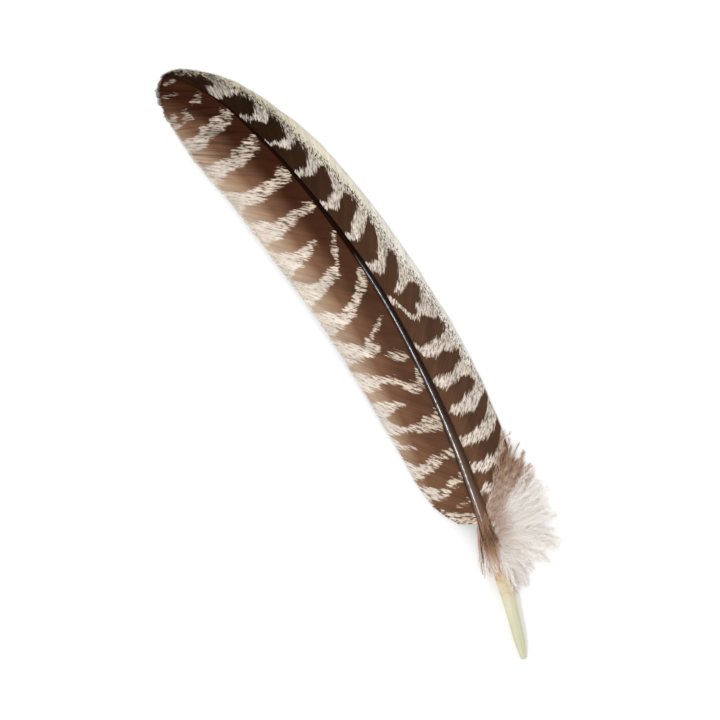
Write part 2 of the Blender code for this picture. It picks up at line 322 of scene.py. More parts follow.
def tube_mesh(name, rings, attributes, rows=1, rounded=True):
    """Many closed tubes as one piece. Rings holds, for each tube, the points of each ring, which
    run round from the right over the top. The bake map unrolls each tube in a column of its
    own, and the columns stand in a number of rows. The end of a tube with an even number of
    sides is closed by quads from each point to its partner across the ring."""
    count, length, sides = rings.shape[:3]
    index = np.arange(count * length * sides).reshape(count, length, sides)
    turned = np.roll(index, -1, axis=2)
    walls = np.stack([index[:, :-1], index[:, 1:], turned[:, 1:], turned[:, :-1]], axis=-1)
    step = np.arange(sides // 2 - 1)
    ladder = np.stack([step, step + 1, sides - 2 - step, sides - 1 - step], axis=-1)
    ladder = np.arange(sides)[None] if sides % 2 else ladder
    caps = np.concatenate([index[:, 0][:, ladder], index[:, -1][:, ladder[:, ::-1]]])
    corners = np.concatenate([walls.ravel(), caps.ravel()])
    cap_faces = caps.size // caps.shape[-1]
    sizes = np.concatenate([np.full(walls.size // 4, 4), np.full(cap_faces, caps.shape[-1])])
    mesh = bpy.data.meshes.new(name)
    mesh.vertices.add(index.size)
    mesh.vertices.foreach_set("co", rings.astype(np.float32).ravel())
    mesh.loops.add(len(corners))
    mesh.loops.foreach_set("vertex_index", corners.astype(np.int32))
    mesh.polygons.add(len(sizes))
    mesh.polygons.foreach_set("loop_start", (np.cumsum(sizes) - sizes).astype(np.int32))
    mesh.update(calc_edges=True)
    if not rounded:
        mesh.shade_flat()
    for label, values in attributes.items():
        kind = "FLOAT_VECTOR" if values.ndim > rings.ndim - 1 else "FLOAT"
        shape = index.shape + (values.shape[3:] if kind == "FLOAT_VECTOR" else ())
        values = np.broadcast_to(values, shape).astype(np.float32)
        layer = mesh.attributes.new(label, kind, "POINT")
        layer.data.foreach_set("value" if kind == "FLOAT" else "vector", values.ravel())
    per_row = -(-count // rows)
    tube, ring, side = np.indices(index.shape)
    column, row = tube % per_row, tube // per_row
    around = np.stack([side, side, side + 1, side + 1], axis=-1)[:, :-1]
    onward = np.stack([ring[:, :-1], ring[:, 1:], ring[:, 1:], ring[:, :-1]], axis=-1)
    u = column[:, :-1, :, None] + COLUMN_GAP + (1 - 2 * COLUMN_GAP) * around / sides
    v = row[:, :-1, :, None] + ROW_GAP + (1 - 2 * ROW_GAP) * onward / (length - 1)
    at_caps = np.broadcast_to(np.arange(count)[:, None, None], (count, *ladder.shape))
    end_u = np.tile(at_caps % per_row, (2, 1, 1)) + 0.5
    end_v = np.concatenate([at_caps // per_row + ROW_GAP, at_caps // per_row + 1 - ROW_GAP])
    places = np.stack([np.r_[u.ravel(), end_u.ravel()], np.r_[v.ravel(), end_v.ravel()]], -1)
    places /= (per_row, rows)
    layer = mesh.uv_layers.new(name="OFBake")
    layer.data.foreach_set("uv", places.astype(np.float32).ravel())
    piece = bpy.data.objects.new(name, mesh)
    bpy.context.collection.objects.link(piece)
    return piece


def settle(piece, material, solid):
    """Give a piece its material, and its place in the frame instead of a plain solid."""
    piece.data.materials.append(material)
    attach(piece, BODY)
    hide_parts(solid)


# ---------------------------------------------------------------- materials

def linear(code):
    """The linear colour of an sRGB hex value."""
    parts = np.array([int(code[i:i + 2], 16) for i in (0, 2, 4)]) / 255
    return tuple(np.where(parts <= 0.04045, parts / 12.92, ((parts + 0.055) / 1.055) ** 2.4))


def node(tree, kind, *inputs, out=0, stops=(), **settings):
    """Add a node with its settings, colour stops and inputs, and hand back one output. An input
    is a value, another node's output, or None to leave it as it is. A stop is a place on the
    ramp, from 0 to 1, and a colour, or a number for a grey."""
    made = tree.nodes.new("ShaderNode" + kind)
    for name, value in settings.items():
        setattr(made, name, value)
    for _ in stops[2:]:
        made.color_ramp.elements.new(1.0)
    for stop, (at, tint) in zip(made.color_ramp.elements if stops else (), stops):
        stop.position = at
        stop.color = (*np.broadcast_to(tint, 3), 1)
    for socket, value in zip([s for s in made.inputs if s.enabled], inputs):
        if isinstance(value, bpy.types.NodeSocket):
            tree.links.new(value, socket)
        elif value is not None:
            socket.default_value = value
    return made.outputs[out] if out else next((s for s in made.outputs if s.enabled), None)


def noise_over(tree, place, scale, detail, roughness=0.5):
    """Noise, from 0 to 1 and mostly near 0.5, over a place x scale."""
    stretched = node(tree, "VectorMath", place, scale, operation="MULTIPLY")
    return node(tree, "TexNoise", stretched, 1.0, detail, roughness)


def new_material(name):
    """A node material's tree with a Principled shader on its output."""
    material = bpy.data.materials.new(name)
    material.use_nodes = True
    tree = material.node_tree
    tree.nodes.clear()
    shader = tree.nodes.new("ShaderNodeBsdfPrincipled")
    node(tree, "OutputMaterial", shader.outputs[0])
    return material, tree, shader


# ---------------------------------------------------------------- settings

def mm_size(label, words, default, low, high):
    """A length in millimetres that a user can change."""
    return bpy.props.FloatProperty(name=label, description=words, default=default, min=low,
                                   max=high)


def colour(label, words, code):
    """A colour that a user can change."""
    return bpy.props.FloatVectorProperty(name=label, description=words, subtype="COLOR",
                                         default=linear(code), min=0, max=1)


class FeatherSizes(bpy.types.PropertyGroup):
    """Sizes of the barbs and of the down, in millimetres."""

    spacing: mm_size("Barb spacing", "Distance between barbs along the shaft", 0.62, 0.3, 2)
    thickness: mm_size("Barb thickness", "Thickness of a barb at its ridge", 0.24, 0.05, 1)
    ragged: mm_size("Ragged rim", "How unevenly the barbs end", 0.45, 0, 3)
    barbule: mm_size("Down barbule", "Length of a barbule of down", 3.6, 1, 10)
    fineness: mm_size("Down width", "Width of a barbule of down", 0.2, 0.01, 0.5)


class FeatherColours(bpy.types.PropertyGroup):
    """Colours of the shaft, the vanes and the down."""

    quill: colour("Quill", "Bare cream quill", "cfcaad")
    horn: colour("Horn", "Stains where the quill meets the down", "c08a4e")
    shaft_low: colour("Shaft, low", "Shaft at the vanes' foot", "705443")
    shaft_mid: colour("Shaft, middle", "Shaft half way up", "22120b")
    shaft_edge: colour("Shaft, edge", "The shaft's edge on the outer side, half way up", "6a452f")
    low_brown: colour("Brown, low", "Inner vane by the shaft, at the vane's foot", "6a4934")
    mid_brown: colour("Brown, middle", "Inner vane by the shaft, half way up", "5b3c2a")
    high_brown: colour("Brown, high", "Inner vane by the shaft, at the feather's tip", "3f1e0e")
    broad_brown: colour("Brown, half way out", "Inner vane half way out to its rim", "7d5942")
    light_brown: colour("Light brown", "Inner vane two thirds of the way out", "a28268")
    rim_brown: colour("Brown, rim", "Inner vane at its rim", "c4ad96")
    outer_low: colour("Outer brown, low", "Outer vane at its foot", "6e4f38")
    outer_mid: colour("Outer brown, middle", "Outer vane half way up", "5b3e2c")
    outer_far: colour("Outer brown, far out", "Outer vane half way out to its rim", "543b2b")
    outer_high: colour("Outer brown, high", "Outer vane at the feather's tip", "2a1808")
    white_root: colour("White by the shaft", "Pale bars beside the shaft", "e2d0bb")
    white_rim: colour("White at the rim", "Pale bars of the inner vane at its rim", "e8ded2")
    outer_white: colour("Outer white", "Pale bars of the outer vane", "e5d9cb")
    margin: colour("Outer margin", "Pale rim of the outer vane", "f1ebe0")
    high_margin: colour("Outer margin, high", "Pale rim towards the feather's tip", "dfd6bd")
    down_white: colour("Down", "Pale pinkish down", "fffaf4")
    down_brown: colour("Brown down", "Brown down at the vane's foot", "bd9678")
    down_dark: colour("Dark down", "Darkest strands of down, over the shaft", "543727")


class FeatherStage(bpy.types.PropertyGroup):
    """Floor, camera and lights."""

    lens: bpy.props.FloatProperty(name="Lens", description="Focal length", default=120,
                                  min=20, max=300, subtype="DISTANCE_CAMERA")
    span: bpy.props.FloatProperty(name="View width", description="Width seen at the feather",
                                  default=0.3504, min=0.1, max=2, subtype="DISTANCE")
    lean: bpy.props.FloatProperty(name="Lean", description="How far the feather leans left",
                                  default=math.radians(32.74), subtype="ANGLE")
    floor: colour("Floor", "Pale matt floor", "fafaf9")


# ---------------------------------------------------------------- shaft

SHAFT_RINGS = 420
SHAFT_SIDES = 40
# The quill's open end, from the bottom of its small pit outwards: station and share of width.
QUILL_END = [(1.8, 0.02), (1.7, 0.2), (0.9, 0.3), (0.15, 0.42), (0.0, 0.65), (0.08, 0.86),
             (0.4, 0.97)]
FULL_WIDTH_FROM = 0.9  # station of the first ring of full width
TIP_CLOSING = (0.9, 0.6, 0.1)  # shares of width of the last rings, at the tip
SQUARED_OVER = (60, 95)  # stations over which the oval squares off beside the vanes
SQUARENESS = 0.5  # how much more than 2 the oval's power gets there
GROOVE_DEPTH = 0.34  # of the groove in its underside, as a share of half its depth
GROOVE_WIDTH = 0.4  # and as a share of half its width

# Noise scales along the shaft, to a mm, and across it, to half its width.
STREAK_SCALE = (0.05, 2.2, 1)
BLOTCH_SCALE = (0.25, 0.9, 1)
SPECK_SCALE = (0.5, 1.6, 1)
BLOTCH_PUSH = 18.0  # how far in mm blotches shift colours along it, in all
# Painted shade beside the vanes, dark down both sides of the rounded shaft, and thickness of
# the clear layer, from the shaft's left edge at 0 to its right edge at 1.
PAINTED_SHADE_ACROSS = [(0.06, 0.3), (0.2, 0.8), (0.3, 1.0), (0.58, 0.95), (0.74, 0.5), (0.9, 0.42)]
GLOSS_ACROSS = [(0.08, 0.1), (0.18, 1.0), (0.42, 1.0), (0.5, 0.1)]
# Stations over which these come or go.
PAINTED_SHADE_FROM = (68.0, 84.0)
STAINS_FROM = (29.0, 40.0)
STAINS_TO = (55.0, 46.0)
GLOSS_FROM = (70.0, 100.0)
GLOSS_TO = (203.0, 216.0)
STAIN = 0.55  # strength of the horn-coloured stains
QUILL_GLOSS = 0.45  # share of the clear layer on the quill


def shaft_material(colours):
    """Keratin quill and shaft. The quill is cream; beside the lower vane the shaft is brown
    under a hard clear layer, which gives a narrow bright gloss, and further up it is nearly
    black and matt."""
    material, tree, shader = new_material("keratin_shaft_polished")
    station = node(tree, "Attribute", out="Fac", attribute_name="station")
    across = node(tree, "Attribute", out="Fac", attribute_name="across")
    where = node(tree, "CombineXYZ", station, across)
    # Streaks 20 mm long, about two to each half of the shaft, and blotches 4 mm long.
    streak = noise_over(tree, where, STREAK_SCALE, 3.0)
    blotch = noise_over(tree, where, BLOTCH_SCALE, 4.0, 0.6)
    pushed = node(tree, "Math", blotch, BLOTCH_PUSH, station, operation="MULTIPLY_ADD")
    along = node(tree, "Math", pushed, SHAFT_LENGTH + 0.5 * BLOTCH_PUSH, operation="DIVIDE")
    body = node(tree, "ValToRGB", along, stops=[
        (0.026, linear("c7c4a6")), (0.11, colours.quill), (0.135, linear("d1c3a4")),
        (0.16, linear("c0a283")), (0.20, linear("84644f")), (0.25, colours.shaft_low),
        (0.32, linear("563f30")), (0.40, linear("382418")), (0.50, colours.shaft_mid),
        (0.62, linear("1b0a05")), (1.0, linear("160502"))])
    grain = node(tree, "ValToRGB", streak, stops=[(0.3, 0.2), (0.7, 0.8)])
    body = node(tree, "Mix", 0.35, body, grain, data_type="RGBA", blend_type="SOFT_LIGHT")
    # Painted shade: beside the vanes it is darker down both sides, more so on the right, so that it
    # looks round.
    side = node(tree, "MapRange", across, -1.0, 1.0)
    shade = node(tree, "ValToRGB", side, stops=PAINTED_SHADE_ACROSS)
    shade = node(tree, "Mix", node(tree, "MapRange", station, *PAINTED_SHADE_FROM), (1, 1, 1, 1), shade,
                 data_type="RGBA")
    body = node(tree, "Mix", 1.0, body, shade, data_type="RGBA", blend_type="MULTIPLY")
    # Its right edge is a paler brown.
    edge = node(tree, "ValToRGB", along, stops=[
        (0.11, linear("ccc5ab")), (0.22, linear("855a3e")), (0.50, colours.shaft_edge),
        (0.62, linear("3c281c"))])
    body = node(tree, "Mix", node(tree, "MapRange", across, 0.84, 0.96), body, edge,
                data_type="RGBA")
    # Horn-coloured stains where the quill meets the down.
    stained = node(tree, "Math", node(tree, "MapRange", blotch, 0.47, 0.62),
                   node(tree, "MapRange", station, *STAINS_FROM), operation="MULTIPLY")
    stained = node(tree, "Math", stained, node(
        tree, "MapRange", station, *STAINS_TO, 0.0, STAIN), operation="MULTIPLY")
    body = node(tree, "Mix", stained, body, (*colours.horn, 1), data_type="RGBA")
    tree.links.new(body, shader.inputs["Base Color"])
    # The clear layer is thick on the left shoulder and thin elsewhere, is thinner on the quill,
    # ends where the shaft turns matt, and is broken up by specks 2 mm long.
    polish = node(tree, "MapRange", station, *GLOSS_TO, 1.0, 0.0)
    polish = node(tree, "Math", polish, node(
        tree, "MapRange", station, *GLOSS_FROM, QUILL_GLOSS, 1.0), operation="MULTIPLY")
    shoulder = node(tree, "ValToRGB", side, stops=GLOSS_ACROSS)
    worn = node(tree, "MapRange", noise_over(tree, where, SPECK_SCALE, 3.0), 0.36, 0.56, 0.4, 1.0)
    worn = node(tree, "Math", worn, shoulder, operation="MULTIPLY")
    tree.links.new(node(tree, "Math", polish, worn, operation="MULTIPLY"),
                   shader.inputs["Coat Weight"])
    shader.inputs["Coat Roughness"].default_value = 0.18
    shader.inputs["Coat IOR"].default_value = 1.9
    shader.inputs["Roughness"].default_value = 0.5
    shader.inputs["Specular IOR Level"].default_value = 0.02
    bump = node(tree, "Bump", 0.1, 0.0002, None, streak)
    tree.links.new(bump, shader.inputs["Normal"])
    return material


def make_shaft(colours):
    """A ring at each station: an oval that squares off along the vanes, with a groove pressed
    into its underside there. The quill end turns in to a small pit."""
    end = np.array(QUILL_END)
    station = np.linspace(FULL_WIDTH_FROM, SHAFT_LENGTH, SHAFT_RINGS)
    station = np.concatenate([end[:, 0], station])[:, None]
    share = np.concatenate([end[:, 1], np.ones(SHAFT_RINGS)])[:, None]
    share[-len(TIP_CLOSING):, 0] = TIP_CLOSING
    turn = np.linspace(0, 2 * np.pi, SHAFT_SIDES, endpoint=False)[None, :]
    along_vane = ease(station, *SQUARED_OVER)
    power = 2 / (2 + SQUARENESS * along_vane)
    across = np.sign(np.cos(turn)) * np.abs(np.cos(turn)) ** power
    rise = np.sign(np.sin(turn)) * np.abs(np.sin(turn)) ** power
    groove = GROOVE_DEPTH * along_vane * np.exp(-((across / GROOVE_WIDTH) ** 2)) * (rise < 0)
    half = 0.5 * shaft_width(station)
    depth = DEPTH_TO_WIDTH * half
    height = underside(station) + depth + depth * (rise + groove) * share
    station = np.broadcast_to(station, height.shape)
    rings = place(station, half * across * share, height)
    piece = tube_mesh("shaft_surface", rings[None],
                      {"station": station[None], "across": across[None]})
    settle(piece, shaft_material(colours), "shaft")


# ---------------------------------------------------------------- vanes

BARB_RINGS = 40
# Cross-section of a barb, from its right edge over its ridge: share of width, share of
# thickness. One edge rides over the next barb like a roof tile.
BARB_SECTION = np.array([(0.5, -0.30), (-0.08, 0.55), (-0.5, 0.32), (0.0, -0.45)])
BARB_OVERLAP = 1.3

# Lengths are in mm. A reach is how many neighbouring barbs are much alike.
BARB_WIDTHS = (0.08, 0.8)  # least and most
BARB_TAPER = (0.9, 1.0)  # shares of length over which a barb narrows
RING_POWER = 0.96  # crowds rings a little towards a barb's tip
ROOT_INSET = 0.25  # how far inside the shaft's edge barbs start
BEND = 0.15  # up the shaft, for all barbs
END_BEND = 0.15  # how much more of it at both ends of a vane
FOOT_BEND_OVER = 25  # length from the foot
TIP_BEND_OVER = (55, 25)  # lengths from the tip
OWN_FRAY = 0.6  # how unevenly barbs end by themselves
FRAY_REACH = 3
TIP_FRAY = 1.5  # how much more of it near the feather's tip
TIP_FRAY_OVER = (45, 20)  # lengths from the tip
USUAL_BARB = 45  # length that fraying is a share of
DRIFTS = ((0.35, 14), (0.14, 4))  # along the shaft at the rim: size and reach
SPLIT_REACH = 4.0  # how far to each side of a split barbs lean away
PAST_RIM = 1.02  # share of the way out where leaning and falling stop
RIM_HEIGHT = 0.5
RIM_WANDER = (0.2, 30)  # of that height: size and reach
LEAST_RIM_HEIGHT = 0.3
ROOT_LIFT = 0.1  # how far over the root level barbs leave the shaft
CLUMPS = ((0.07, 1.3), (0.05, 4))  # barbs that stand higher or lower: size and reach
LEAST_HEIGHT = 0.02
MARK_SHIFT = 0.55  # of each barb's own marks, along the shaft
MARK_WANDER = (0.4, 2)  # of neighbours' marks: size and reach
MARGIN_SHIFT = 0.2  # share of that which moves the margin
TONE = 0.16  # lightness about 0.5, for each barb
TONE_WANDER = (0.12, 3)  # and for neighbours: size and reach
NO_BAR = -30.0  # depth where no bar is near
BAR_END_FALL = 0.9  # how fast depth falls past the ends of a bar


def bar_depth(station, offset, bars):
    """How far inside the nearest white bar a point is, in mm, and less than 0 outside: half the
    bar's width at that offset, less the distance from its middle, less what lies past its
    ends."""
    best = np.full(station.shape, NO_BAR)
    for bar in bars:
        at, start, stop = np.array(sorted(bar), float).T
        low, high = np.interp(offset, at, start), np.interp(offset, at, stop)
        inside = 0.5 * (high - low) - np.abs(station - 0.5 * (high + low))
        past = np.maximum(at[0] - offset, 0) + np.maximum(offset - at[-1], 0)
        best = np.maximum(best, inside - BAR_END_FALL * past)
    return best


def barb_layout(roots, barbs, splits, ragged, random):
    """Station, offset and share of length for each ring of each barb, and its share of the way
    out, which is part x (1 + bend x (1 - part squared)): barbs bend up the shaft near the rim,
    and most at the vane's two ends. Near a split, barbs lean away from it. Groups of barbs
    drift together, and each ends a little short or long."""
    tip = smooth(roots, barbs)
    count = len(roots)
    first, last = roots[0], roots[-1]
    part = np.linspace(0, 1, BARB_RINGS)[None, :] ** RING_POWER
    near_tip = ease(roots, *(last - length for length in TIP_FRAY_OVER))
    frayed = ragged * (1 + TIP_FRAY * near_tip) / USUAL_BARB
    uneven = random.normal(size=count) * OWN_FRAY + wander(random, count, FRAY_REACH)
    part = part * (1 + uneven * frayed)[:, None]
    near_foot = 1 - ease(roots, first, first + FOOT_BEND_OVER)
    near_tip = ease(roots, *(last - length for length in TIP_BEND_OVER))
    bend = BEND + END_BEND * (near_foot + near_tip)
    outwards = part * (1 + bend[:, None] * (1 - part**2))
    near = 0.5 * shaft_width(roots)[:, None] - ROOT_INSET
    offset = near + (tip[:, 1:] - near) * outwards
    station = roots[:, None] + (tip[:, :1] - roots[:, None]) * part
    drift = sum(size * wander(random, count, reach) for size, reach in DRIFTS)
    station = station + drift[:, None] * part**2
    for at, opening, inset in splits:
        gap = roots - at
        lean = np.sign(gap) * np.exp(-np.abs(gap) / SPLIT_REACH) * 0.5 * opening
        station = station + lean[:, None] * ease(part, inset, PAST_RIM)
    return station, offset, part, outwards


def barb_heights(roots, part, outwards, rim_lift, station, random):
    """Heights that fall from the root to the rim by the way out to the camber power. The rim
    rises towards the middle of the vane as half a sine wave, and clumps of barbs stand a little
    higher or lower."""
    count = len(roots)
    share = np.linspace(0, 1, count)[:, None]
    size, reach = RIM_WANDER
    rim = RIM_HEIGHT + rim_lift * np.sin(np.pi * share)
    rim = np.maximum(rim + size * wander(random, count, reach)[:, None], LEAST_RIM_HEIGHT)
    root = shaft_height(station, BARB_ROOT_LEVEL) + ROOT_LIFT
    height = root + (rim - root) * np.clip(outwards, 0, PAST_RIM) ** CAMBER_POWER
    clump = sum(size * wander(random, count, reach) for size, reach in CLUMPS)
    return height + clump[:, None] * ease(part, 0.05, 0.5)


def barb_rings(centre, part, side, thickness):
    """A barb's section at each of its points: as wide as the space to its neighbours and a
    little more, narrow at the tip, and as thick as the root's thickness x (0.45 + 0.55 x the
    share of length left to the power 0.7)."""
    _, right, upwards = frames_along(centre)
    narrowest, widest = np.array(BARB_WIDTHS) * MM
    pitch = np.abs((np.gradient(centre, axis=0) * right).sum(-1)).clip(narrowest, widest)
    taper = 1 - 0.88 * ease(part, *BARB_TAPER)
    width = pitch * BARB_OVERLAP * (0.35 + 0.65 * taper)
    thick = thickness * MM * (0.45 + 0.55 * (1 - part.clip(0, 1)) ** 0.7)
    across = width[..., None] * BARB_SECTION[:, 0] * side
    above = thick[..., None] * BARB_SECTION[:, 1]
    rings = centre[:, :, None] + right[:, :, None] * across[..., None]
    rings = rings + upwards[:, :, None] * above[..., None]
    # On the left the section is mirrored, so its points have to run the other way.
    rings = rings[:, :, ::side]
    rings[..., 2] = np.maximum(rings[..., 2], LEAST_HEIGHT * MM)
    return rings


def vane_piece(name, side, barbs, rim_lift, splits, bars, margin, seed, sizes):
    """A vane as single barbs. A barb is a thin closed ribbon with a ridge along it; its height
    falls from the shaft to the rim, and it is as wide as the space to its neighbours."""
    random = np.random.default_rng(seed)
    count = int((barbs[-1][0] - barbs[0][0]) / sizes.spacing) + 1
    roots = np.linspace(barbs[0][0], barbs[-1][0], count)
    station, offset, part, outwards = barb_layout(roots, barbs, splits, sizes.ragged, random)
    height = barb_heights(roots, part, outwards, rim_lift, station, random)
    centre = place(station, side * offset, height)
    rings = barb_rings(centre, part, side, sizes.thickness)
    size, reach = MARK_WANDER
    shift = MARK_SHIFT * random.normal(size=count) + size * wander(random, count, reach)
    size, reach = TONE_WANDER
    tone = 0.5 + TONE * random.normal(size=count) + size * wander(random, count, reach)
    steps = np.linalg.norm(np.diff(centre, axis=1), axis=-1) / MM
    length = np.concatenate([np.zeros((count, 1)), steps.cumsum(axis=1)], axis=1)
    fields = {
        "bar": bar_depth(station + shift[:, None], offset, bars),
        "margin": offset + MARGIN_SHIFT * shift[:, None] - between(station, margin),
        "offset": offset,
        "tone": tone[:, None],
        "station": station,
        "grain": np.stack(np.broadcast_arrays(length, roots[:, None], 0.0), axis=-1),
    }
    fields = {label: values[:, :, None] for label, values in fields.items()}
    return tube_mesh(name, rings, fields, rows=5)


# Marks of the vanes, with lengths in mm. Depths are from the edge of a bar or of the margin.
MOTTLE_STEPS = (0.43, 0.47, 0.495, 0.525, 0.565)  # noise where each share of white begins
EXTRA_WHITE_OVER = (4.0, 26.0)  # offsets between which white changes by lighter
BAR_EDGE = (-0.3, 1.3)  # depths over which brown turns to white
MARGIN_EDGE = (-0.9, 0.9)
MARGIN_JAG = 9.0  # how far dashes move the margin's edge
FLECK_SCALE = (1.75, 1.65, 1)  # how much finer than dashes flecks are
FLECK_PLACE = (7, 3, 0)  # where they lie in the noise
DOTS_TO_MM = (0.7, 0.9, 1)  # along and across a barb
DOTS_OVER = (-4.5, 0.5)  # depths over which dashes turn to dots
CLEAR_OVER = (0.8, 4.2)  # depths over which dots clear
CLEARING = 0.22  # noise added there
CLOUD_SCALE = (0.065, 0.16, 1)  # clouds 15 mm long and 6 mm across
STREAK_TO_MM = (0.03, 0.55, 1)  # streaks 33 mm long and 2 mm across
STATION_RAMP = 350  # length of a colour ramp over stations
OFFSET_RAMP = 40  # and of one over offsets
BROWNS_FADE = 70  # length over which the browns further out stop
# Two stations, and the values there.
DIM_DOTS = (215.0, 280.0, 0.0, 0.22)  # white taken from the margin's dots
FADE_MARKS = (312.0, 328.0, 1.0, 0.72)  # white left in every mark
DIM_WHITE = (225.0, 310.0, 1.0, 0.87)  # brightness of the bars' white
CREAM_MARGIN = (200.0, 290.0)  # between the margin's two colours
# Stations over which the painted shade of dark streaks between barbs comes in.
PAINTED_SHADE_STREAKS = (275.0, 305.0)  # from no dark streaks to all


def pale_share(tree, read, shares, lighter, strokes, jag):
    """How white each place is, from 0 to 1, and how far it lies in the rim's margin, from 0 to
    1. Dashes of noise move the edges of bars and margin, and inside them the mean of dashes and
    flecks picks a share of white."""
    dash_place = node(tree, "VectorMath", read["grain"], (*strokes, 1), operation="MULTIPLY")
    dash = node(tree, "TexNoise", dash_place, 1.0, 3.0, 0.55)
    fleck_place = node(tree, "VectorMath", dash_place, FLECK_SCALE, FLECK_PLACE,
                       operation="MULTIPLY_ADD")
    fleck = node(tree, "TexNoise", fleck_place, 1.0, 2.0, 0.5)
    push = node(tree, "Math", dash, 0.5, operation="SUBTRACT")
    ragged = node(tree, "Math", push, jag, read["bar"], operation="MULTIPLY_ADD")
    in_bar = node(tree, "MapRange", ragged, *BAR_EDGE, interpolation_type="SMOOTHSTEP")
    ragged = node(tree, "Math", push, MARGIN_JAG, read["margin"], operation="MULTIPLY_ADD")
    in_margin = node(tree, "MapRange", ragged, *MARGIN_EDGE, interpolation_type="SMOOTHSTEP")
    marked = node(tree, "Math", in_bar, in_margin, operation="MAXIMUM")
    mottle = node(tree, "Mix", 0.5, dash, fleck)
    mottle = node(tree, "Math", mottle, node(
        tree, "MapRange", read["offset"], *EXTRA_WHITE_OVER, *lighter))
    share = node(tree, "ValToRGB", mottle, stops=list(zip(MOTTLE_STEPS, shares)))
    # Towards the margin it turns to round dots about 1 mm apart, which are gone at the rim.
    dots = noise_over(tree, read["grain"], DOTS_TO_MM, 1.0)
    clear = node(tree, "MapRange", read["margin"], *CLEAR_OVER, interpolation_type="SMOOTHSTEP")
    dots = node(tree, "Math", clear, CLEARING, dots, operation="MULTIPLY_ADD")
    dots = node(tree, "MapRange", dots, 0.4, 0.55, 0.1, 1.0)
    share = node(tree, "Mix", node(tree, "MapRange", read["margin"], *DOTS_OVER), share, dots)
    # Up the feather the dots in the margin get darker, and near its tip every mark fades.
    dim = node(tree, "MapRange", read["station"], *DIM_DOTS)
    dim = node(tree, "Math", dim, in_margin, operation="MULTIPLY")
    dim = node(tree, "Math", dim, node(tree, "Math", 1.0, clear, operation="SUBTRACT"),
               operation="MULTIPLY")
    share = node(tree, "Math", share, dim, operation="SUBTRACT", use_clamp=True)
    pale = node(tree, "Math", marked, share, operation="MULTIPLY")
    fade = node(tree, "MapRange", read["station"], *FADE_MARKS)
    return node(tree, "Math", pale, fade, operation="MULTIPLY"), in_margin


def ramp_over(tree, value, length, stops):
    """A ramp of colours at places in mm, over a length that starts at 0."""
    share = node(tree, "Math", value, float(length), operation="DIVIDE")
    return node(tree, "ValToRGB", share, stops=[(at / length, tint) for at, tint in stops])


def vane_brown(tree, read, near, browns, browns_end):
    """The brown beside the shaft by station, which turns to the browns further out by offset."""
    near_brown = ramp_over(tree, read["station"], STATION_RAMP, near)
    far = node(tree, "MapRange", read["offset"], browns[0][0], browns[1][0],
               interpolation_type="SMOOTHSTEP")
    far = node(tree, "Math", far, node(
        tree, "MapRange", read["station"], browns_end - BROWNS_FADE, browns_end, 1.0, 0.0),
        operation="MULTIPLY")
    far_brown = ramp_over(tree, read["offset"], OFFSET_RAMP, browns[1:])
    return node(tree, "Mix", far, near_brown, far_brown, data_type="RGBA")


def vane_white(tree, read, in_margin, whites, colours):
    """The white of the bars by offset, dimmer up the feather, and the margin's white."""
    white = ramp_over(tree, read["offset"], OFFSET_RAMP, whites)
    dimmer = node(tree, "MapRange", read["station"], *DIM_WHITE)
    white = node(tree, "HueSaturation", None, None, dimmer, None, white)
    rim_white = node(tree, "Mix", node(tree, "MapRange", read["station"], *CREAM_MARGIN),
                     (*colours.margin, 1), (*colours.high_margin, 1), data_type="RGBA")
    return node(tree, "Mix", in_margin, white, rim_white, data_type="RGBA")


def vane_light(tree, read):
    """How bright each place is: each barb's own tone, times clouds, less dark streaks near the
    tip, which are painted shade between barbs that stand a little apart."""
    cloud = noise_over(tree, read["grain"], CLOUD_SCALE, 3.0)
    cloud = node(tree, "MapRange", cloud, 0.3, 0.7, 0.86, 1.14)
    light = node(tree, "MapRange", read["tone"], 0.0, 1.0, 0.84, 1.16)
    light = node(tree, "Math", light, cloud, operation="MULTIPLY")
    # Painted shade: dark streaks between barbs near the tip.
    streak = noise_over(tree, read["grain"], STREAK_TO_MM, 2.0)
    streak = node(tree, "MapRange", streak, 0.46, 0.62, 0.0, 0.42)
    streak = node(tree, "Math", streak, node(tree, "MapRange", read["station"], *PAINTED_SHADE_STREAKS),
                  operation="MULTIPLY")
    return node(tree, "Math", light, node(tree, "Math", 1.0, streak, operation="SUBTRACT"),
                operation="MULTIPLY")


def vane_material(name, near, browns, browns_end, whites, shares, lighter, strokes, jag,
                  colours):
    """Feather keratin, grown as barbs hooked together: a soft, silky surface with hardly any
    gloss. Near gives the brown beside the shaft at stations, and browns and whites the colours
    at offsets; the browns further out stop at the station browns_end. Pale bars cross the vane:
    their edges break into dashes along the barbs, and inside them each dash is its own mix of
    white and brown. Lighter says how much more white there is in a bar beside the shaft and at
    the rim, strokes how many dashes there are to a mm, along a barb and across the barbs, and
    jag how far in mm the dashes move a bar's edge."""
    material, tree, shader = new_material(name)
    read = {label: node(tree, "Attribute", out="Fac", attribute_name=label)
            for label in ("bar", "margin", "offset", "tone", "station")}
    read["grain"] = node(tree, "Attribute", out="Vector", attribute_name="grain")
    pale, in_margin = pale_share(tree, read, shares, lighter, strokes, jag)
    brown = vane_brown(tree, read, near, browns, browns_end)
    white = vane_white(tree, read, in_margin, whites, colours)
    coat = node(tree, "Mix", pale, brown, white, data_type="RGBA")
    coat = node(tree, "HueSaturation", None, None, vane_light(tree, read), None, coat)
    tree.links.new(coat, shader.inputs["Base Color"])
    shader.inputs["Roughness"].default_value = 0.65
    shader.inputs["Specular IOR Level"].default_value = 0.06
    return material


# ---------------------------------------------------------------- down

PLUME_RINGS = 28
BARBULE_RINGS = 3
BARBULE_SIDES = 3
BARBULE_FLATNESS = 0.35
QUILL_SIDES = 4
MAT_RIBS = 90
MAT_RINGS = 36
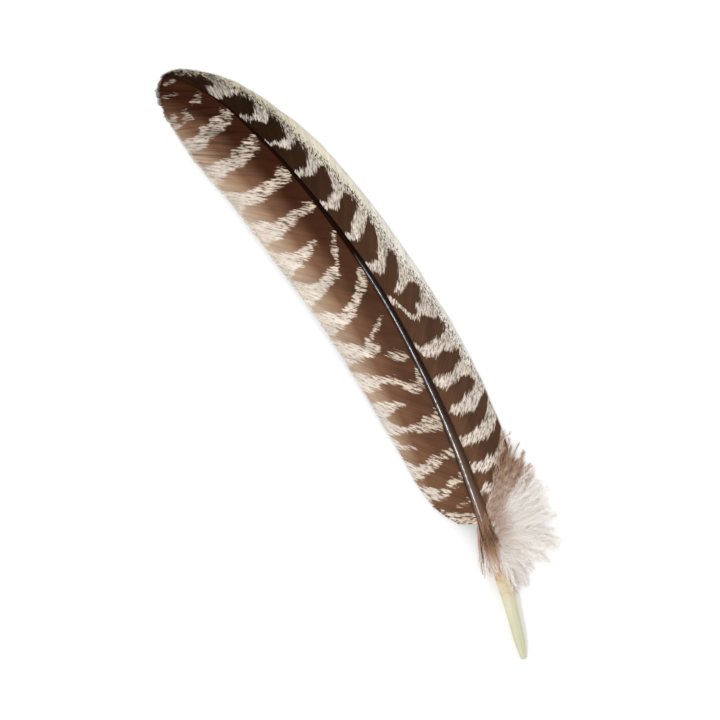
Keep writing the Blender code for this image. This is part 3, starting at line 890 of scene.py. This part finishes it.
# Lengths are in mm.
PLUME_FLOOR = 0.25  # least height of a plume
BARBULE_FLOOR = 0.06
MAT_FLOOR = 0.12
PLUME_RADIUS = (0.07, 0.015)  # of a plume's own shaft, at its root and its tip
ROOT_SCATTER = 0.3
SHORT_BY = 0.42  # share of its length that a plume may lack
SHORT_POWER = 2.2  # makes most plumes lack less
WAVES = ((0.8, 0.8), (0.45, 2.1))  # size at the tip, and turns to a wave length
WAVE_LENGTH = 25
ROOT_LEVELS = (0.25, 0.85)  # least and most, as shares of the shaft's depth
TIP_HEIGHTS = (0.25, 2.2)
HUMPS = (-0.2, 1.8)  # extra height half way
SPACES = (0.1, 0.9)  # over what lies under a plume
GROWN_FROM = 0.02  # share of a plume's length where barbules start
GROWN_OVER = 0.97  # share that they grow over
CROWDING = 1.25  # crowds them towards the plume's tip
ROLL = 0.7  # how far round the plume they stray, in radians
SPLAY_SCATTER = 14  # in degrees
LENGTH_SHARES = (0.5, 1.15)  # of the longest barbule
FORWARDS = 0.45  # how a barbule's end bends, as shares of its length
BACK = 0.25
DROOP = 0.08
ASTRAY = 0.3


def bezier(first, second, third, last, part):
    """A cubic curve for each row: it leaves the first point towards the second, and reaches the
    last from the third."""
    part = part[None, :, None]
    rest = 1 - part
    return (first[:, None] * rest**3 + 3 * second[:, None] * part * rest**2
            + 3 * third[:, None] * part**2 * rest + last[:, None] * part**3)


def shaft_top(station, offset):
    """Height of the shaft's upper surface at an offset, and of its middle beyond its sides."""
    half = 0.5 * shaft_width(station)
    inside = np.clip(1 - (offset / half) ** 2, 0, 1)
    return underside(station) + DEPTH_TO_WIDTH * half * (1 + np.sqrt(inside))


def over_vane(station, offset):
    """Height just above the outer vane's foot, which falls from the shaft to its rim, 1 mm up
    and 23 mm out."""
    high = shaft_height(station, BARB_ROOT_LEVEL) + 0.7
    return high + (1.0 - high) * np.clip(np.abs(offset) / 23, 0, 1) ** CAMBER_POWER


def over_floor(station, offset):
    """Just above the floor."""
    return PLUME_FLOOR


def flat_paths(start, finish, leave, part):
    """Station and offset along curves that go from start to finish. Each leaves in the given
    direction, out from the shaft, and turns towards its finish."""
    chord = finish - start
    reach = np.linalg.norm(chord, axis=1, keepdims=True)
    side = np.sign(finish[:, 1:])
    out = np.hstack([np.full_like(side, leave[0]), leave[1] * side])
    second = start + 0.4 * (out * reach + (1 - math.hypot(*leave)) * chord)
    third = finish - 0.3 * chord
    return bezier(start, second, third, finish, part)


def plume_lines(random, locks, scatter, leave, top):
    """Station and offset, and points in the frame, along each plume of a list of locks. Plumes
    of one lock start at places spread along its roots and end near its tip, some short of it,
    which makes a pointed lock. Each waves a little, rises, and sinks to the floor, but stays
    above the height that top gives."""
    table = np.array(locks, float)
    table = np.repeat(table[:, :5], table[:, 5].astype(int), axis=0)
    count = len(table)
    root = random.uniform(table[:, 0], table[:, 1])
    start = np.stack([root, table[:, 2] + ROOT_SCATTER * random.normal(size=count)], axis=1)
    finish = table[:, 3:5] + random.normal(size=(count, 2)) * scatter
    short = 1 - SHORT_BY * random.uniform(0, 1, count) ** SHORT_POWER
    finish = start + (finish - start) * short[:, None]
    part = np.linspace(0, 1, PLUME_RINGS)
    flat = flat_paths(start, finish, leave, part)
    length = np.linalg.norm(finish - start, axis=1)[:, None] / WAVE_LENGTH
    for size, turns in WAVES:
        for axis in range(2):
            turn = random.uniform(0.6, 1.4, (count, 1)) * turns * part[None] * length
            swing = np.sin(2 * np.pi * (turn + random.uniform(0, 1, (count, 1))))
            flat[..., axis] += size * swing * part * length
    part = part[None, :]
    down_to = random.uniform(*TIP_HEIGHTS, (count, 1))
    high = shaft_height(root, random.uniform(*ROOT_LEVELS, count))[:, None]
    hump = random.uniform(*HUMPS, (count, 1))
    height = high * (1 - part) + down_to * part + 4 * hump * part * (1 - part)
    station, offset = flat[..., 0], flat[..., 1]
    height = np.maximum(height, top(station, offset) + random.uniform(*SPACES, (count, 1)))
    return flat, place(station, offset, np.maximum(height, PLUME_FLOOR))


def ring_points(centre, half_width, half_height, sides):
    """Rings of an oval tube along each path, at half widths and heights given for a path."""
    _, right, upwards = frames_along(centre)
    turn = np.linspace(0, 2 * np.pi, sides, endpoint=False)[:, None]
    across = right[:, :, None] * np.cos(turn) * half_width[:, None, None]
    above = upwards[:, :, None] * np.sin(turn) * half_height[:, None, None]
    return centre[:, :, None] + across + above


def barbule_rings(random, line, flat, per_plume, longest, splay, thick):
    """Barbules down both sides of each plume's own thin shaft. Each leaves it at about the splay
    angle, bends forwards and astray, and thins to a point; they are shortest at the plume's
    tip. Gives back their rings, and the station and offset that each one grows from."""
    plumes = len(line)
    part = (np.arange(per_plume) + random.uniform(0, 1, (plumes, per_plume))) / per_plume
    part = 1 - (1 - GROWN_FROM - GROWN_OVER * part) ** CROWDING
    spot = part * (line.shape[1] - 1)
    before = np.minimum(spot.astype(int), line.shape[1] - 2)
    blend = (spot - before)[..., None]
    rows = np.arange(plumes)[:, None]
    along, right, upwards = frames_along(line)
    base = line[rows, before] * (1 - blend) + line[rows, before + 1] * blend
    along, right, upwards = along[rows, before], right[rows, before], upwards[rows, before]
    side = np.where(np.arange(per_plume) % 2, 1.0, -1.0)
    roll = random.normal(size=part.shape) * ROLL
    sideways = right * (side * np.cos(roll))[..., None] + upwards * np.sin(roll)[..., None]
    angle = np.radians(random.normal(splay, SPLAY_SCATTER, part.shape))[..., None]
    heading = along * np.cos(angle) + sideways * np.sin(angle)
    profile = 0.25 + 0.75 * np.sqrt(1 - part) * ease(part, -0.3, 0.2)
    length = longest * MM * profile * random.uniform(*LENGTH_SHARES, part.shape)
    step = np.linspace(0, 1, BARBULE_RINGS)[None, :, None]
    heading, along, upwards, base = (
        v.reshape(-1, 1, 3) for v in (heading, along, upwards, base))
    stray = random.normal(size=(len(base), 1, 3)) * ASTRAY
    bend = (along * FORWARDS - heading * BACK - upwards * DROOP + stray) * step**2
    centre = base + length.reshape(-1, 1, 1) * (heading * step + bend)
    centre[..., 2] = np.maximum(centre[..., 2], BARBULE_FLOOR * MM)
    half = 0.5 * thick * MM * (1 - 0.75 * step[0, :, 0])
    root = flat[rows, before] * (1 - blend) + flat[rows, before + 1] * blend
    return ring_points(centre, half, BARBULE_FLATNESS * half, BARBULE_SIDES), root


def down_material(name, sheen, colours):
    """Down keratin: fine loose fibres with no gloss of their own, which together scatter light
    like wool. The attributes say how brown each place of a plume is, and how light each strand."""
    material, tree, shader = new_material(name)
    brown, tone = (node(tree, "Attribute", out="Fac", attribute_name=label)
                   for label in ("brown", "tone"))
    tint = node(tree, "ValToRGB", brown, stops=[
        (0.0, colours.down_white), (0.6, colours.down_brown), (1.0, colours.down_dark)])
    value = node(tree, "MapRange", tone, 0.0, 1.0, 0.88, 1.06)
    toned = node(tree, "HueSaturation", None, None, value, None, tint)
    tree.links.new(toned, shader.inputs["Base Color"])
    shader.inputs["Roughness"].default_value = 0.9
    shader.inputs["Specular IOR Level"].default_value = 0.05
    shader.inputs["Sheen Weight"].default_value = sheen
    return material


def down_mat(name, locks, reach, solid, leave, top, browned, material, random):
    """The inside of a tuft, where fibres too fine and too many to part lie felted together: a
    closed low pillow that follows the locks from root to tip. Its ridges run with the locks,
    and it stops short of their tips in a ragged edge."""
    table = np.array(locks, float)
    at = np.linspace(0, len(table) - 1, MAT_RIBS)
    rib = smooth(at, np.column_stack([np.arange(len(table)), table[:, :5]]))
    rough = wander(random, MAT_RIBS, 1.5)
    start = np.stack([rib[:, 0] + (rib[:, 1] - rib[:, 0]) * 0.85 + 0.8 * rough, rib[:, 2]], axis=1)
    short = (reach + 0.05 * np.cos(2 * np.pi * at) + 0.05 * rough)[:, None]
    finish = start + (rib[:, 3:5] - start) * short
    part = np.linspace(0, 1, MAT_RINGS)
    flat = flat_paths(start, finish, leave, part)
    station, offset = flat[..., 0], flat[..., 1]
    part = part[None, :]
    ridge = 0.22 * wander(random, MAT_RIBS, 1.2) + 0.3 * wander(random, MAT_RIBS, 4)
    edge = np.minimum(at, len(table) - 1 - at)[:, None]
    crown = np.sqrt(np.clip(edge / 0.8, 0, 1)) * ease(1 - part, 0, 0.25)
    middle = shaft_height(rib[:, :1], 0.42) * (1 - part) + 0.5 * part
    half = (1.1 * (1 - part) + 0.4) * crown
    upper = middle + half + ridge[:, None] * ease(part, 0.0, 0.5) * crown
    upper = np.maximum(upper, top(station, offset) + 0.1)
    under = np.clip(middle - half, MAT_FLOOR, upper - 0.05)
    brown = browned(station, offset, 0.5)
    tone = 0.5 + 0.12 * wander(random, MAT_RIBS, 0.8)[:, None]
    shell = np.concatenate([place(station, offset, upper), place(station, offset, under)[::-1]])
    brown, tone = (np.concatenate([value, value[::-1]]) for value in (brown, tone))
    # Rings run the other way round where the locks do, so that faces point outwards.
    if (finish[-1, 0] - finish[0, 0]) * finish[0, 1] < 0:
        shell = shell[::-1]
    fields = {"brown": brown.T[None], "tone": tone.T[None]}
    piece = tube_mesh(name, shell.transpose(1, 0, 2)[None], fields)
    settle(piece, material, solid)


def down_pieces(name, locks, scatter, per_plume, longest, splay, thick, solid, leave, top,
                browned, material, random):
    """Plumes of down as two meshes: the barbules, and the plumes' own thin shafts. Browned gives
    how brown a place is, from its station and offset and a random number for its plume."""
    flat, line = plume_lines(random, locks, scatter, leave, top)
    rings, root = barbule_rings(random, line, flat, per_plume, longest, splay, thick)
    lot = random.uniform(0, 1, (len(line), 1))
    tone = 0.5 + 0.16 * random.normal(size=(len(line), 1))
    fine_tone = tone + 0.08 * random.normal(size=root.shape[:2])
    brown = browned(root[..., 0], root[..., 1], lot)
    fields = {"tone": fine_tone.reshape(-1, 1, 1), "brown": brown.reshape(-1, 1, 1)}
    barbules = tube_mesh(name + "_barbules", rings, fields, rows=30, rounded=False)
    settle(barbules, material, solid)
    radius = np.linspace(*PLUME_RADIUS, PLUME_RINGS) * MM
    brown = browned(flat[..., 0], flat[..., 1], lot)
    fields = {"tone": (tone - 0.1)[..., None], "brown": brown[..., None]}
    rings = ring_points(line, radius, radius, QUILL_SIDES)
    settle(tube_mesh(name + "_shafts", rings, fields, rows=4), material, solid)


def white_down(station, offset, lot):
    """Pinkish white, browner towards the shaft and the vane."""
    near = 1 - ease(offset, 2.0, 15.0)
    vane = ease(station, 50, 70)
    return np.clip(0.6 * near * vane + 0.03 * near + 0.1 * (lot > 0.8), 0, 1)


def brown_down(station, offset, lot):
    """Brown, in some plumes and in patches 5 mm apart dark, with pale tips beyond the vane."""
    far = ease(station, 80, 92)
    patch = np.sin(1.25 * station + 0.6 * offset) * np.sin(0.9 * offset - 0.3 * station)
    brown = 0.48 + 0.2 * far + 0.4 * (lot - 0.5) + 0.14 * patch
    return np.clip(brown - 0.1 * ease(offset, 25, 31), 0, 1)


def inner_down(station, offset, lot):
    """Pinkish white at the tips, brown towards the roots, with a few dark strands that are partly
    the tuft's own dark brown and partly painted shade of the gap beside the shaft's down.
    """
    # A few plumes are darkest: partly the tuft's own dark brown, partly painted shade.
    return np.clip(0.55 * ease(station, 48, 62) + 0.7 * (lot > 0.82), 0, 1)


def shaft_down(station, offset, lot):
    """Dark brown where it leaves the vane, and paler towards the quill and the white down."""
    white = ease(offset, 1.0, 3.0) * (1 - ease(station, 50, 64))
    return np.clip((0.3 + 0.55 * ease(station, 46, 62) + 0.4 * (lot - 0.5)) * (1 - white), 0, 1)


# ---------------------------------------------------------------- stage

# What the camera looks at, from the quill end, in mm, and half the floor's side, in metres.
VIEW_CENTRE = (11.62, 166.12)
FLOOR_HALF = 4.0
# The camera's film is 36 mm wide, and its view is as wide as the stage says this far up.
FILM_WIDTH = 36
VIEW_HEIGHT = 5
# Lights: name, direction from the feather, distance, width and height in metres, watts, tint.
LIGHTS = [
    ("key_light", (-0.43, -0.02, 0.9), 1.3, 0.24, 0.36, 4.8, "f6f9ff"),
    ("fill_light", (0.5, 0.5, 0.7), 1.6, 1.2, 1.2, 2.0, "fffdfa"),
]
# Brightness of the surroundings, from level at 0 to overhead at 1.
SKY = [(0.0, 1.0), (0.45, 1.02), (0.85, 0.86), (1.0, 0.72)]


def make_floor(floor_colour):
    """A square sheet just under the feather."""
    mesh = bpy.data.meshes.new("floor")
    below = -0.1 * MM
    corners = [(-1, -1), (1, -1), (1, 1), (-1, 1)]
    mesh.from_pydata([(x * FLOOR_HALF, y * FLOOR_HALF, below) for x, y in corners], [],
                     [(0, 1, 2, 3)])
    floor = bpy.data.objects.new("floor", mesh)
    bpy.context.collection.objects.link(floor)
    material, _, shader = new_material("matt_paper_backdrop")
    shader.inputs["Base Color"].default_value = (*floor_colour, 1)
    shader.inputs["Roughness"].default_value = 0.9
    shader.inputs["Specular IOR Level"].default_value = 0.1
    mesh.materials.append(material)


def make_camera(stage):
    """Straight above the feather, turned so that the feather leans left. Its distance is the
    view's width x the lens / the film's width."""
    data = bpy.data.cameras.new("camera")
    data.lens = stage.lens
    data.sensor_width = FILM_WIDTH
    camera = bpy.data.objects.new("camera", data)
    bpy.context.collection.objects.link(camera)
    x, y = (np.array(VIEW_CENTRE) - BOX_CENTRE) * MM
    camera.location = (x, y, stage.span * stage.lens / FILM_WIDTH + VIEW_HEIGHT * MM)
    camera.rotation_euler = (0, 0, -stage.lean)
    bpy.context.scene.camera = camera


def add_light(name, direction, distance, width, height, power, tint):
    """A soft box in a direction from the feather, facing it."""
    data = bpy.data.lights.new(name, "AREA")
    data.shape = "RECTANGLE"
    data.size = width
    data.size_y = height
    data.energy = power
    data.color = linear(tint)
    light = bpy.data.objects.new(name, data)
    bpy.context.collection.objects.link(light)
    x, y, z = unit(np.array(direction, float))
    light.location = np.array([x, y, z]) * distance
    light.rotation_euler = (0, math.acos(z), math.atan2(y, x))


def make_world():
    """Even pale surroundings, dimmer overhead so that dark gloss stays dark."""
    world = bpy.data.worlds.new("studio")
    bpy.context.scene.world = world
    world.use_nodes = True
    tree = world.node_tree
    tree.nodes.clear()
    direction = node(tree, "TexCoord", out="Generated")
    height = node(tree, "SeparateXYZ", direction, out="Z")
    sky = node(tree, "ValToRGB", height, stops=SKY)
    node(tree, "OutputWorld", node(tree, "Background", sky, 1.0))


# ---------------------------------------------------------------- operators

class MakeStage(bpy.types.Operator):
    """Make the floor, camera, lights and surroundings"""

    bl_idname = "feather.stage"
    bl_label = "Stage"

    def execute(self, context):
        stage = context.scene.feather_stage
        make_floor(stage.floor)
        make_camera(stage)
        make_world()
        for light in LIGHTS:
            add_light(*light)
        context.scene.view_settings.view_transform = "Standard"
        return {"FINISHED"}


class MakeShaft(bpy.types.Operator):
    """Make the quill and shaft"""

    bl_idname = "feather.shaft"
    bl_label = "Quill and shaft"

    def execute(self, context):
        make_shaft(context.scene.feather_colours)
        return {"FINISHED"}


class MakeInnerVane(bpy.types.Operator):
    """Make the broad inner vane"""

    bl_idname = "feather.inner_vane"
    bl_label = "Inner vane"

    def execute(self, context):
        colours = context.scene.feather_colours
        piece = vane_piece("inner_vane_barbs", -1, INNER_BARBS, INNER_RIM_LIFT, INNER_SPLITS,
                           INNER_BARS, INNER_MARGIN, SEED + 1, context.scene.feather_sizes)
        material = vane_material(
            "feather_keratin_inner_vane",
            near=[(85, colours.low_brown), (165, colours.mid_brown), (265, colours.high_brown)],
            browns=[(8.5, None), (19, colours.broad_brown), (23, colours.light_brown),
                    (31, colours.rim_brown)], browns_end=500,
            whites=[(6, colours.white_root), (25, colours.white_rim)],
            shares=(0.05, 0.36, 0.66, 0.86, 1.0), lighter=(-0.014, 0.04),
            # Dashes 6 mm long and 1.3 mm across.
            strokes=(0.17, 0.78), jag=4.6, colours=colours)
        settle(piece, material, "inner_vane")
        return {"FINISHED"}


class MakeOuterVane(bpy.types.Operator):
    """Make the narrow outer vane"""

    bl_idname = "feather.outer_vane"
    bl_label = "Outer vane"

    def execute(self, context):
        colours = context.scene.feather_colours
        piece = vane_piece("outer_vane_barbs", 1, OUTER_BARBS, OUTER_RIM_LIFT, OUTER_SPLITS,
                           OUTER_BARS, OUTER_MARGIN, SEED + 2, context.scene.feather_sizes)
        material = vane_material(
            "feather_keratin_outer_vane",
            near=[(85, colours.outer_low), (180, colours.outer_mid), (285, colours.outer_high)],
            browns=[(4, None), (12, colours.outer_far), (24, colours.outer_far)], browns_end=240,
            whites=[(0, colours.outer_white), (40, colours.outer_white)],
            shares=(0.3, 0.65, 0.8, 0.9, 1.0), lighter=(0.0, 0.0),
            # Dashes 4 mm long and 1.4 mm across.
            strokes=(0.26, 0.7), jag=3.6, colours=colours)
        settle(piece, material, "outer_vane")
        return {"FINISHED"}


class MakeOuterDown(bpy.types.Operator):
    """Make the large tuft of white down beside the quill"""

    bl_idname = "feather.outer_down"
    bl_label = "Outer down"

    def execute(self, context):
        sizes = context.scene.feather_sizes
        tuft = {
            "solid": "outer_down", "leave": (0.08, 0.5), "top": over_floor, "browned": white_down,
            "material": down_material("down_keratin_white", 0.45, context.scene.feather_colours),
            "random": np.random.default_rng(SEED + 3),
        }
        down_mat("outer_down_mat", OUTER_LOCKS, 0.82, **tuft)
        for number in (1, 2):
            down_pieces(f"outer_down_{number}", OUTER_LOCKS + OUTER_SHORT_LOCKS, scatter=0.7,
                        per_plume=134, longest=sizes.barbule, splay=52, thick=sizes.fineness,
                        **tuft)
        return {"FINISHED"}


class MakeBrownDown(bpy.types.Operator):
    """Make the brown plumes between the white down and the outer vane"""

    bl_idname = "feather.brown_down"
    bl_label = "Brown down"

    def execute(self, context):
        sizes = context.scene.feather_sizes
        tuft = {
            "solid": "outer_down", "leave": (0.3, 0.4), "top": over_vane, "browned": brown_down,
            "material": down_material("down_keratin_brown", 0.1, context.scene.feather_colours),
            "random": np.random.default_rng(SEED + 6),
        }
        down_mat("brown_down_mat", BROWN_LOCKS, 0.8, **tuft)
        down_pieces("brown_down", BROWN_LOCKS + BROWN_SHORT_LOCKS, scatter=1.3, per_plume=150,
                    longest=0.95 * sizes.barbule, splay=50, thick=sizes.fineness, **tuft)
        return {"FINISHED"}


class MakeInnerDown(bpy.types.Operator):
    """Make the small tuft of down on the other side of the quill, and the down on the shaft"""

    bl_idname = "feather.inner_down"
    bl_label = "Inner down"

    def execute(self, context):
        sizes = context.scene.feather_sizes
        tuft = {
            "solid": "inner_down", "leave": (0.0, 0.1), "top": over_floor, "browned": inner_down,
            "material": down_material("down_keratin_mixed", 0.1, context.scene.feather_colours),
            "random": np.random.default_rng(SEED + 7),
        }
        down_mat("inner_down_mat", INNER_LOCKS, 0.85, **tuft)
        down_pieces("inner_down", INNER_LOCKS, scatter=0.4, per_plume=110,
                    longest=0.45 * sizes.barbule, splay=26, thick=sizes.fineness, **tuft)
        tuft |= {"top": shaft_top, "browned": shaft_down}
        down_mat("shaft_down_mat", SHAFT_LOCKS, 0.86, **tuft)
        down_pieces("shaft_down", SHAFT_LOCKS, scatter=0.8, per_plume=80,
                    longest=0.5 * sizes.barbule, splay=45, thick=sizes.fineness, **tuft)
        return {"FINISHED"}


class FeatherPanel(bpy.types.Panel):
    """The feather's pieces, in the 3D view's sidebar"""

    bl_idname = "VIEW3D_PT_feather"
    bl_label = "Feather"
    bl_space_type = "VIEW_3D"
    bl_region_type = "UI"
    bl_category = "Feather"

    def draw(self, context):
        for maker in OPERATORS:
            self.layout.operator(maker.bl_idname)


OPERATORS = [MakeStage, MakeShaft, MakeInnerVane, MakeOuterVane, MakeOuterDown, MakeBrownDown,
             MakeInnerDown]
GROUPS = {"feather_sizes": FeatherSizes, "feather_colours": FeatherColours,
          "feather_stage": FeatherStage}
CLASSES = [*GROUPS.values(), *OPERATORS, FeatherPanel]


def register():
    for made in CLASSES:
        bpy.utils.register_class(made)
    for name, group in GROUPS.items():
        setattr(bpy.types.Scene, name, bpy.props.PointerProperty(type=group))


def unregister():
    for name in GROUPS:
        delattr(bpy.types.Scene, name)
    for made in reversed(CLASSES):
        bpy.utils.unregister_class(made)


def main():
    register()
    for maker in OPERATORS:
        getattr(bpy.ops.feather, maker.bl_idname.removeprefix("feather."))()


if __name__ == "__main__":
    main()
